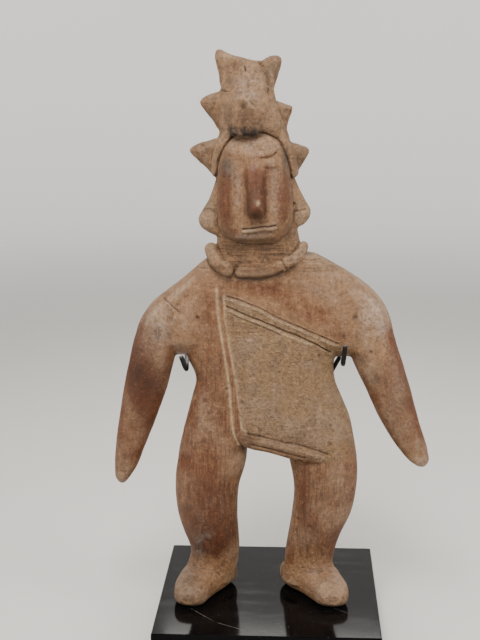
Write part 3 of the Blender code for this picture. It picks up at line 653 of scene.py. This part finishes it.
# Darker clay, and painted shade: on the neck under the chin, on the nose's sides and on the lower legs
DARKER_AND_SHADED = [(-8, 265, 9, 8, 0, 0.5), (-34, 249, 7, 9, 0, 0.35), (20, 248, 6, 8, 0, 0.35),
        (-20, 226, 5, 22, 0, 0.5), (11, 226, 5, 22, 0, 0.3), (-4, 194, 24, 8, 0, 0.35),
        (-4, 187, 30, 5, 0, 0.5), (-66, 126, 13, 40, 10, 0.85), (-76, 84, 8, 26, 6, 0.35),
        (74, 112, 12, 34, -15, 0.5), (-32, 86, 18, 16, 0, 0.3), (-30, 52, 20, 26, 0, 0.6),
        (-28, 34, 18, 14, 0, 0.95), (31, 60, 18, 26, 0, 0.4), (29, 34, 16, 14, 0, 0.5),
        (36, 9, 14, 9, 0, 0.2), (-29, 116, 10, 30, 0, 0.25), (-8, 92, 8, 4, -20, 0.7),
        (-40, 9, 12, 9, 0, 0.45), (-3, 226, 6.4, 14, 0, 0.85), (-7.4, 231, 1.8, 10, 0, 0.6),
        (12, 86, 24, 3, -15, 0.5), (-30, 270, 6, 8, 0, 0.3)]


def finish_marks(clay, hollow):
    """What each point of the surface has of every finish, and of the painted shade, sheen and highlights, as
    shares from 0 to 1.
    """
    p = clay.start
    seen = clay.seen
    front = soft_step(-clay.facing[:, 1], -0.35, 0.15)
    panel = soft_step(right_of(seen, EDGE_INNER), -0.3, 0.5) * soft_step(-side_of(seen, BAND_TOP), -0.3, 0.5)
    panel = panel * soft_step(side_of(seen, HEM_FOOT), -1.5, 0) * front
    panel = panel * soft_step(-right_of(seen, PANEL_SIDE), -1.5, 2)
    head = soft_step(p[:, 2], 176 + 8 * clay.front, 186)
    face = oval(p, (-4.4, 228), (20.4, 31), power=9) * soft_step(-p[:, 1], 8, 13)
    feet = 1 - soft_step(p[:, 2], 16, 26)
    burnish = np.clip(1 - panel - head, 0, 1) * (1 - 0.7 * feet) + face * soft_step(-p[:, 2], -250, -240)
    grooves = {
        "cream_and_highlight": [(EDGE_OUTER, 0.6, 1.0), (EDGE_INNER, 0.55, 0.9), (shifted(BAND_TOP, -0.5, -1.5), 0.7, 0.5),
                  (shifted(BAND_FOOT[:5], -0.5, -1.6), 0.7, 0.5), (shifted(MOUTH, 0, 1.5), 0.7, 0.05),
                  (shifted(MOUTH, 0.2, -1.5), 0.6, 0.12), (HEM_TOP[:2], 0.7, 0.7)],
        # Painted shade along the drawn grooves, creases, cracks and under the collar
        "crease_shade": [(BAND_TOP, 0.42, 0.16), (BAND_FOOT, 0.48, 0.28), (BAND_UNDERLINE, 0.5, 0.12),
                  (HEM_TOP[1:], 0.42, 0.2), (HEM_FOOT[:4], 0.5, 0.2), (MOUTH, 0.36, 0.5),
                  (RIGHT_BROW, 0.5, 0.3), (RIGHT_LOWER_LID, 0.7, 0.2), (HOOD_CREASE_LEFT, 0.8, 0.4),
                  (HOOD_CREASE_RIGHT, 0.5, 0.45), (TRUNK_CREASE_RIGHT, 1.0, 0.3),
                  (SHOULDER_CRACK, 0.4, 0.6), (CROWN_NICK, 0.5, 0.6), (SPIKE_NICK, 0.4, 0.5),
                  (UNDER_COLLAR, 0.8, 0.4)],
    }
    marks = {"burnish": burnish, "panel": panel, "crest": head * (1 - face)}
    for name, lines in grooves.items():
        marks[name] = np.max([np.exp(-(distance_to(seen, line) / wide) ** 2) * strength
                              for line, wide, strength in lines], axis=0) * front
    strip = soft_step(right_of(seen, EDGE_OUTER), 0.3, 1.1) * soft_step(-right_of(seen, EDGE_INNER), 0.2, 1.0)
    strip = strip * soft_step(p[:, 2], 92, 98) * soft_step(-p[:, 2], -174, -168)
    for name, places in (("red", RED_SLIP), ("soot_and_shade", SOOT_AND_SHADE), ("ash_and_sheen", ASH_AND_SHEEN), ("pale_and_sheen", PALE_AND_SHEEN), ("deep", DARKER_AND_SHADED)):
        marks[name] = daubs(p, places) * front
    marks["red"] = np.maximum(marks["red"], strip * 0.4 * front)
    # Painted highlight on the nose tip, carried with the cream lines
    nose_tip_highlight = oval(p, (-1.8, 224.4), (1.0, 1.5), power=3)
    marks["cream_and_highlight"] = np.maximum(marks["cream_and_highlight"], nose_tip_highlight * front * 0.6)
    marks["neck"] = soft_step(p[:, 2], 184, 188) * soft_step(-p[:, 2], -206, -201) * front
    for collar in (LEFT_COLLAR, MIDDLE_COLLAR, RIGHT_COLLAR):
        marks["neck"] *= soft_step(distance_to(seen, [(x, z) for x, _, z in collar]), 2.6, 4)
    limbs = burnish * soft_step(-p[:, 2], -176, -150) * soft_step(np.abs(p[:, 0] - 2), 20, 40)
    # Painted shade: limb sides that turn away from the front are darker and redder
    marks["edge"] = soft_step(np.abs(clay.facing[:, 0]), 0.3, 0.9) * limbs
    trunk_and_legs = soft_step(-p[:, 2], -160, -120) * soft_step(-np.abs(p[:, 0] - 4), -58, -50)
    sideways = soft_step(np.abs(clay.facing[:, 0]), 0.3, 0.8)
    marks["gloss"] = burnish * (1 - 0.85 * sideways) * (1 - 0.3 * face)
    marks["strokes"] = burnish * np.maximum(0.25 + 0.75 * trunk_and_legs, face * 0.7)
    marks["hollow"] = np.clip(hollow / 0.25, -1, 1) * 0.5 + 0.5
    return marks


def grain_places(clay):
    """Places turned so that the burnishing strokes run down each limb."""
    places = clay.start.copy()
    for pivot, turn, share in (((-56, 160), -10, soft_step(-clay.start[:, 0], 40, 56)),
                               ((56, 160), 17, soft_step(clay.start[:, 0], 40, 56))):
        share = share * (1 - soft_step(clay.start[:, 2], 150, 172)) * soft_step(clay.start[:, 2], 55, 62)
        angle = np.radians(turn) * share
        across, up = places[:, 0] - pivot[0], places[:, 2] - pivot[1]
        places[:, 0] = pivot[0] + across * np.cos(angle) + up * np.sin(angle)
        places[:, 2] = pivot[1] + up * np.cos(angle) - across * np.sin(angle)
    return places


def build_figure(finish):
    mesh = relieved_mesh(joined_forms())
    clay = Clay(mesh)
    marks = finish_marks(clay, hollowness(mesh, clay))
    for name, values in marks.items():
        layer = mesh.attributes.new(name, "FLOAT", "POINT")
        layer.data.foreach_set("value", values.astype(np.float32))
    grain = mesh.attributes.new("grain", "FLOAT_VECTOR", "POINT")
    grain.data.foreach_set("vector", grain_places(clay).astype(np.float32).ravel())
    places = (clay.points + np.array(FIGURE_PLACE)) * MM
    mesh.vertices.foreach_set("co", places.ravel())
    mesh.polygons.foreach_set("use_smooth", np.ones(len(mesh.polygons), dtype=bool))
    mesh.update()
    mesh.materials.clear()
    mesh.materials.append(finish)
    figure = object_of(mesh, "clay_figure")
    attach(figure, "root")
    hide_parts("figurine")
    return figure


class Wire:
    """One value of a material's recipe, which adds and multiplies as a number does."""

    def __init__(self, recipe, socket):
        self.recipe = recipe
        self.socket = socket

    def __add__(self, other):
        return self.recipe.maths("ADD", self, other)

    def __radd__(self, other):
        return self.recipe.maths("ADD", other, self)

    def __sub__(self, other):
        return self.recipe.maths("SUBTRACT", self, other)

    def __rsub__(self, other):
        return self.recipe.maths("SUBTRACT", other, self)

    def __mul__(self, other):
        return self.recipe.maths("MULTIPLY", self, other)

    def __rmul__(self, other):
        return self.recipe.maths("MULTIPLY", other, self)

    def __abs__(self):
        return self.recipe.maths("ABSOLUTE", self)

    def at_most(self, other):
        return self.recipe.maths("MINIMUM", self, other)

    def at_least(self, other):
        return self.recipe.maths("MAXIMUM", self, other)


class Recipe:
    """A material under construction, whose surface is one Principled BSDF."""

    def __init__(self, name):
        self.material = bpy.data.materials.new(name)
        self.material.use_nodes = True
        self.tree = self.material.node_tree
        self.shader = self.tree.nodes["Principled BSDF"]

    def node(self, kind, settings=None, inputs=None, output=0):
        """Add a node: its settings first, then the values or wires of its sockets."""
        node = self.tree.nodes.new(kind)
        for name, value in (settings or {}).items():
            setattr(node, name, value)
        for socket, value in (inputs or {}).items():
            self.join(value, node.inputs[socket])
        return Wire(self, node.outputs[output])

    def join(self, value, socket):
        if isinstance(value, Wire):
            self.tree.links.new(value.socket, socket)
        else:
            socket.default_value = value

    def maths(self, operation, first, second=0.0):
        return self.node("ShaderNodeMath", {"operation": operation}, {0: first, 1: second})

    def mix(self, first, second, share, blend="MIX"):
        """Mix two colours."""
        settings = {"data_type": "RGBA", "blend_type": blend}
        return self.node("ShaderNodeMix", settings, {0: share, 6: first, 7: second}, output=2)

    def rise(self, value, low, high):
        """Rise smoothly from 0 at the low value to 1 at the high one."""
        return self.node("ShaderNodeMapRange", {"interpolation_type": "SMOOTHSTEP"},
                         {0: value, 1: low, 2: high})

    def place(self):
        """Where the surface is, in millimetres."""
        coordinates = self.node("ShaderNodeTexCoord", output=3)
        return self.node("ShaderNodeVectorMath", {"operation": "SCALE"}, {0: coordinates, "Scale": 1 / MM})

    def mark(self, name):
        """A share that is kept on the mesh."""
        return self.node("ShaderNodeAttribute", {"attribute_name": name}, output=2)

    def stretched(self, place, sizes):
        """Measure places in steps as long as the sizes."""
        steps = tuple(1 / size for size in sizes)
        return self.node("ShaderNodeVectorMath", {"operation": "MULTIPLY"}, {0: place, 1: steps})

    def cloud(self, place, sizes, detail=3.0, roughness=0.5, seed=0.0):
        """Noise from 0 to 1 whose lumps are as long as the sizes."""
        shift = self.node("ShaderNodeVectorMath", {"operation": "ADD"},
                          {0: self.stretched(place, sizes), 1: (seed, seed * 1.7, seed * 0.6)})
        return self.node("ShaderNodeTexNoise", {}, {"Vector": shift, "Scale": 1.0, "Detail": detail,
                                                   "Roughness": roughness})

    def specks(self, place, size, reach, seed):
        """Round specks, one to each cell of a size, as shares from 0 to 1."""
        shift = self.node("ShaderNodeVectorMath", {"operation": "ADD"},
                          {0: self.stretched(place, (size,) * 3), 1: (seed, seed * 0.3, seed * 1.9)})
        near = self.node("ShaderNodeTexVoronoi", {}, {"Vector": shift, "Scale": 1.0})
        return 1 - self.rise(near, reach * 0.5, reach)

    def finish(self, colour, roughness, height=None, coat=None, constants=None):
        """Join what varies to the shader and set what doesn't; the height is in millimetres."""
        self.join(colour, self.shader.inputs["Base Color"])
        self.join(roughness, self.shader.inputs["Roughness"])
        if coat is not None:
            self.join(coat, self.shader.inputs["Coat Weight"])
        if height is not None:
            bump = self.node("ShaderNodeBump", {}, {"Strength": 1.0, "Distance": MM, "Height": height})
            self.join(bump, self.shader.inputs["Normal"])
        for name, value in (constants or {}).items():
            self.shader.inputs[name].default_value = value
        return self.material


def tone(red, green, blue):
    """A colour as it is seen on a screen, from 0 to 255, in the linear values that nodes take."""
    parts = [value / 255 for value in (red, green, blue)]
    return (*[v / 12.92 if v <= 0.04045 else ((v + 0.055) / 1.055) ** 2.4 for v in parts], 1.0)


def fired_clay():
    """Tan low-fired clay: red-brown burnished slip on the body, matte on the garment, neck and headdress."""
    clay = Recipe("fired_clay")
    place = clay.place()
    grain = clay.node("ShaderNodeAttribute", {"attribute_name": "grain"}, output=1)
    burnish, panel, crest, neck, gloss, strokes, edge = map(
        clay.mark, ("burnish", "panel", "crest", "neck", "gloss", "strokes", "edge"))
    cream_and_highlight, crease_shade, red, soot_and_shade, ash_and_sheen, pale_and_sheen, deep, hollow = map(
        clay.mark, ("cream_and_highlight", "crease_shade", "red", "soot_and_shade", "ash_and_sheen", "pale_and_sheen", "deep", "hollow"))

    broad = clay.cloud(place, (20, 20, 20), 3, 0.55)
    mottle = clay.cloud(place, (6, 6, 6), 4, 0.62, seed=3)
    fine = clay.cloud(place, (1.7, 1.7, 1.7), 4, 0.65, seed=5)
    grit = clay.cloud(place, (0.8, 0.8, 0.8), 2, 0.6, seed=15)
    stroke = clay.cloud(grain, (1.5, 1.5, 26), 3, 0.6, seed=7)
    thin_stroke = clay.cloud(grain, (0.7, 0.7, 12), 3, 0.65, seed=8)
    scratch = clay.cloud(place, (12, 12, 0.6), 2, 0.5, seed=9)
    blotch = clay.cloud(place, (3, 3, 4), 4, 0.7, seed=19)

    # Slip share; the limbs' sides get more of it as painted shade
    slip = red * 0.75 + burnish * 0.2 + edge * 0.45 + (mottle - 0.5) * 1.7 + (broad - 0.5) * 1.1
    slip = slip + (stroke - 0.5) * strokes * 3.6 + (thin_stroke - 0.5) * strokes * 1.6
    slip = slip + (blotch - 0.5) * (burnish - strokes) * 1.6
    colour = clay.mix(tone(130, 98, 69), tone(92, 56, 33), clay.rise(slip, 0.0, 1.1))
    greyer = clay.rise(broad + (mottle - 0.5) * 1.2, 0.38, 0.66)
    cloth = clay.mix(tone(128, 102, 75), tone(124, 101, 80), greyer)
    colour = clay.mix(colour, cloth, panel * 0.9)
    crown = clay.mix(tone(136, 107, 80), tone(118, 94, 73), clay.rise(mottle, 0.4, 0.62))
    colour = clay.mix(colour, crown, crest * 0.85)
    dark_strokes = clay.rise(0.5 - stroke + mottle * 0.5, 0.26, 0.46) * strokes
    colour = clay.mix(colour, tone(70, 42, 26), dark_strokes * 0.75)
    colour = clay.mix(colour, tone(148, 119, 92), clay.rise(thin_stroke, 0.53, 0.7) * strokes * 0.5)
    colour = clay.mix(colour, tone(145, 119, 96), clay.rise(blotch, 0.52, 0.7) * (burnish - strokes) * 0.45)
    matte = (1 - burnish).at_least(0.0)
    orange_specks = clay.specks(place, 1.5, 0.3, seed=9) * matte * clay.rise(mottle, 0.4, 0.6)
    dark_specks = clay.rise(1 - fine * 0.6 - grit * 0.4, 0.57, 0.64)
    dark_specks = dark_specks * (0.3 + matte * 0.15 - panel * 0.2)
    pale_specks = clay.rise(grit * 0.5 + fine * 0.5, 0.6, 0.68)
    colour = clay.mix(colour, tone(150, 88, 46), orange_specks * 0.25)
    colour = clay.mix(colour, tone(60, 40, 28), dark_specks * 0.7)
    # Pale deposits and painted sheen
    colour = clay.mix(colour, tone(154, 132, 117), pale_and_sheen * clay.rise(fine * 0.6 + mottle, 0.55, 1.0) * 0.75)
    # Soot and painted shadow, broken up by noise
    soot_and_shade = soot_and_shade * (0.3 + clay.rise(fine * 0.7 + mottle, 0.58, 1.0) * 0.6)
    colour = clay.mix(colour, tone(46, 40, 35), soot_and_shade.at_most(0.95))
    # Darker clay and painted shade, multiplied in
    darkened_and_shaded = clay.mix(colour, tone(134, 92, 62), 1.0, "MULTIPLY")
    colour = clay.mix(colour, darkened_and_shaded, (deep + edge * 0.2).at_most(1.0) * (0.75 + blotch * 0.5))
    # Grey deposits and painted sheen
    colour = clay.mix(colour, tone(90, 87, 80), ash_and_sheen * clay.rise(fine + blotch, 0.75, 1.1))
    # Dark red slip, also on the limbs' sides as painted shade
    colour = clay.mix(colour, tone(108, 60, 30), (red * 0.3 + edge * 0.3).at_most(0.45))
    # Cream lines, and the painted highlight on the nose tip
    colour = clay.mix(colour, tone(170, 144, 112), cream_and_highlight * clay.rise(fine + mottle, 0.5, 0.95) * 0.95)
    colour = clay.mix(colour, tone(172, 150, 124), pale_specks * (0.25 + panel * 0.2))
    open_hollow = (1 - cream_and_highlight * 1.2).at_least(0.0)
    # Painted shade: darker where the surface lies in a hollow.
    hollow_shade = clay.rise(hollow, 0.56, 0.95) * open_hollow * 0.5
    # Painted shade: darker along the grooves, creases and cracks.
    colour = clay.mix(colour, tone(52, 35, 23), (hollow_shade + crease_shade * 0.7).at_most(0.9))
    worn = clay.rise(1 - hollow, 0.56, 0.95) * 0.45
    clean = (1 - crease_shade) * (1 - soot_and_shade).at_least(0.0) * (1 - deep) * (1 - red * 0.8).at_least(0.0)
    colour = clay.mix(colour, tone(152, 129, 106), worn * clean)
    shade = 0.82 + (fine - 0.5) * 1.1 + (grit - 0.5) * 0.7 + (blotch - 0.5) * 0.9
    lines = (scratch - 0.5) * (panel * 0.3 + crest * 0.2 + neck * 1.1)
    colour = clay.mix(colour, (shade + lines).at_least(0.45), 1.0, "MULTIPLY")

    roughness = 0.78 - burnish * 0.12 - gloss * 0.22 + (fine - 0.5) * 0.6
    roughness = roughness + deep * 0.1 + crease_shade * 0.15 - pale_and_sheen * burnish * 0.08
    pits = clay.specks(place, 1.9, 0.24, seed=12) * (1 - burnish * 0.6)
    height = (fine - 0.5) * (0.9 - burnish * 0.5) + (mottle - 0.5) * 0.5 - pits * 0.25
    height = height + (grit - 0.5) * (0.4 - burnish * 0.24) + lines * 0.3
    height = height + (thin_stroke - 0.5) * strokes * 0.25
    height = height + ((fine - 0.5) * 0.7 + (blotch - 0.5) * 0.6) * panel
    coat = gloss * (0.32 - deep * 0.12 - red * 0.14)
    constants = {"Coat Roughness": 0.3, "IOR": 1.42, "Specular IOR Level": 0.32}
    return clay.finish(colour, roughness.at_most(0.95), height, coat, constants)


def scratched(recipe, x, y, start, end, width):
    """A scratch on the slab's top from one place to another, as a share from 0 to 1."""
    (x0, y0), (x1, y1) = start, end
    length = math.hypot(x1 - x0, y1 - y0)
    c, s = (x1 - x0) / length, (y1 - y0) / length
    along = (x - x0) * c + (y - y0) * s
    aside = abs((y - y0) * c - (x - x0) * s)
    inside = recipe.rise(along, 0, 3) * (1 - recipe.rise(along, length - 3, length))
    return inside * (1 - recipe.rise(aside, width * 0.3, width))


def polished_black():
    """The slab: polished black, with hair scratches, a smear and settled dust on its top."""
    slab = Recipe("polished_black")
    place = slab.place()
    x, y, z = (slab.node("ShaderNodeSeparateXYZ", {}, {0: place}, output=i) for i in range(3))
    top = slab.rise(z, 19.4, 19.9)
    smear = slab.cloud(place, (30, 12, 30), 3, 0.55, seed=1)
    film = slab.cloud(place, (5, 5, 5), 4, 0.65, seed=4)
    dust = slab.specks(place, 4.2, 0.07, seed=3) + slab.specks(place, 2.3, 0.06, seed=8)
    scratches = scratched(slab, x, y, (-42.9, -29.4), (-27.9, -46.6), 0.22)
    for start, end, width in (((-27.9, -46.6), (-8.6, -57.9), 0.22), ((-6.1, -55.3), (12.6, -62.3), 0.18),
                              ((30, -20), (46, -34), 0.12), ((-50, 20), (-30, 44), 0.12)):
        scratches = scratches + scratched(slab, x, y, start, end, width)
    marks = (scratches * slab.rise(film, 0.35, 0.6) + dust * 0.8).at_most(1.0) * top
    colour = slab.mix(tone(7, 7, 8), tone(140, 136, 130), marks * 0.45)
    colour = slab.mix(colour, tone(46, 45, 44), slab.rise(smear, 0.5, 0.8) * top * 0.12)
    roughness = 0.09 + slab.rise(smear, 0.45, 0.8) * 0.1 + (film - 0.5) * 0.05 + marks * 0.4
    height = (smear - 0.5) * 0.01 - scratches * 0.03 * top
    return slab.finish(colour, roughness.at_least(0.05), height, constants={"Specular IOR Level": 0.06})


def satin_black(tip):
    """The rods: black paint over steel, grey steel at the cut end, whose grey also stands for a painted
    glint.
    """
    rod = Recipe("satin_black")
    place = rod.place()
    film = rod.cloud(place, (1.2, 1.2, 1.2), 4, 0.6, seed=2)
    streak = rod.cloud(place, (0.7, 0.7, 8), 3, 0.6, seed=6)
    reach = rod.node("ShaderNodeVectorMath", {"operation": "DISTANCE"}, {0: place, 1: tuple(tip)}, output=1)
    # Grey cut end, partly worn steel and partly a painted glint
    bare_and_glint = (1 - rod.rise(reach + (film - 0.5) * 1.4, 0.9, 1.6)).at_most(1.0)
    colour = rod.mix(tone(11, 11, 12), tone(34, 33, 32), rod.rise(streak, 0.55, 0.75) * 0.6)
    colour = rod.mix(colour, tone(92, 94, 98), bare_and_glint)
    roughness = 0.42 + (film - 0.5) * 0.2
    return rod.finish(colour, roughness, (film - 0.5) * 0.02, constants={"Specular IOR Level": 0.2})


def pale_floor():
    """Pale paper, with a painted glow that grows from none near the middle to full where it rises at the edge
    of the studio.
    """
    floor = Recipe("pale_floor")
    coordinates = floor.node("ShaderNodeTexCoord", output=3)
    paper = floor.cloud(coordinates, (0.4, 0.4, 0.4), 2, 0.5)
    far = floor.node("ShaderNodeVectorMath", {"operation": "LENGTH"}, {0: coordinates}, output=1)
    glow = floor.mix(tone(0, 0, 0), tone(222, 221, 219), floor.rise(far, 0.5, 2.4))
    floor.join(glow, floor.shader.inputs["Emission Color"])
    floor.shader.inputs["Emission Strength"].default_value = 0.9
    colour = floor.mix(tone(206, 204, 200), tone(214, 212, 209), paper)
    return floor.finish(colour, 0.85)


def soft_light(name, place, aim, size, power, colour, spread):
    """A soft box that faces a place on the figure; a grid keeps its light to a spread in degrees."""
    lamp = bpy.data.lights.new(name, "AREA")
    lamp.shape = "RECTANGLE"
    lamp.size, lamp.size_y = size
    lamp.energy = power
    lamp.color = colour
    lamp.spread = math.radians(spread)
    box = bpy.data.objects.new(name, lamp)
    bpy.context.scene.collection.objects.link(box)
    box.location = place
    box.rotation_euler = (Vector(aim) - Vector(place)).to_track_quat("-Z", "Y").to_euler()
    box.visible_camera = False


def add_sweep():
    """A round floor that curves up into a wall on every side."""
    reach, bend, rise, sides = 2.4, 0.9, 2.6, 96
    profile = [(reach - bend + bend * math.sin(a), bend - bend * math.cos(a))
               for a in (math.radians(9 * k) for k in range(11))]
    profile = [(0.6, 0.0), (1.0, 0.0)] + profile + [(reach, rise)]
    bm = bmesh.new()
    rings = []
    for radius, z in profile:
        turns = [math.tau * k / sides for k in range(sides)]
        rings.append([bm.verts.new((radius * math.cos(t), radius * math.sin(t), z)) for t in turns])
    bm.faces.new(rings[0])
    for first, second in zip(rings, rings[1:]):
        for k in range(sides):
            after = (k + 1) % sides
            bm.faces.new((first[k], second[k], second[after], first[after]))
    mesh = bpy.data.meshes.new("floor")
    bm.to_mesh(mesh)
    bm.free()
    mesh.polygons.foreach_set("use_smooth", np.ones(len(mesh.polygons), dtype=bool))
    mesh.materials.append(pale_floor())
    object_of(mesh, "floor")


def set_studio():
    add_sweep()
    world = bpy.data.worlds.new("studio")
    world.use_nodes = True
    world.node_tree.nodes["Background"].inputs[0].default_value = tone(222, 221, 219)
    world.node_tree.nodes["Background"].inputs[1].default_value = 0.12
    bpy.context.scene.world = world

    warm_white = (1.0, 0.96, 0.91)
    soft_light("high_box", (-0.1, -0.6, 0.98), (0, 0, 0.26), (0.4, 0.4), 2.5, warm_white, 70)
    soft_light("left_box", (-0.85, -0.3, 0.5), (0, 0, 0.2), (0.3, 0.5), 0.85, warm_white, 90)
    soft_light("right_box", (0.8, -0.4, 0.5), (0, 0, 0.2), (0.3, 0.5), 1.25, warm_white, 90)
    soft_light("back_box", (0.1, 1.0, 0.8), (0, 0, 0.17), (0.6, 0.5), 1.5, warm_white, 90)


def set_camera():
    lens = bpy.data.cameras.new("camera")
    lens.sensor_width = 36
    lens.lens = 73.125
    camera = bpy.data.objects.new("camera", lens)
    bpy.context.scene.collection.objects.link(camera)
    camera.location = (0.0162, -0.6966, 0.324)
    camera.rotation_euler = (math.radians(90 - 11.94), 0, math.radians(2.7))
    bpy.context.scene.camera = camera


def dress(node, material):
    """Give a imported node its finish."""
    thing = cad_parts[node]
    thing.data.materials.clear()
    thing.data.materials.append(material)


set_camera()
set_studio()
build_figure(fired_clay())
dress("stand_base", polished_black())
dress("prong_left", satin_black(FIGURE_PLACE + Vector((-43.9, -15, 139.1))))
dress("prong_right", satin_black(FIGURE_PLACE + Vector((44.7, -15, 145.9))))
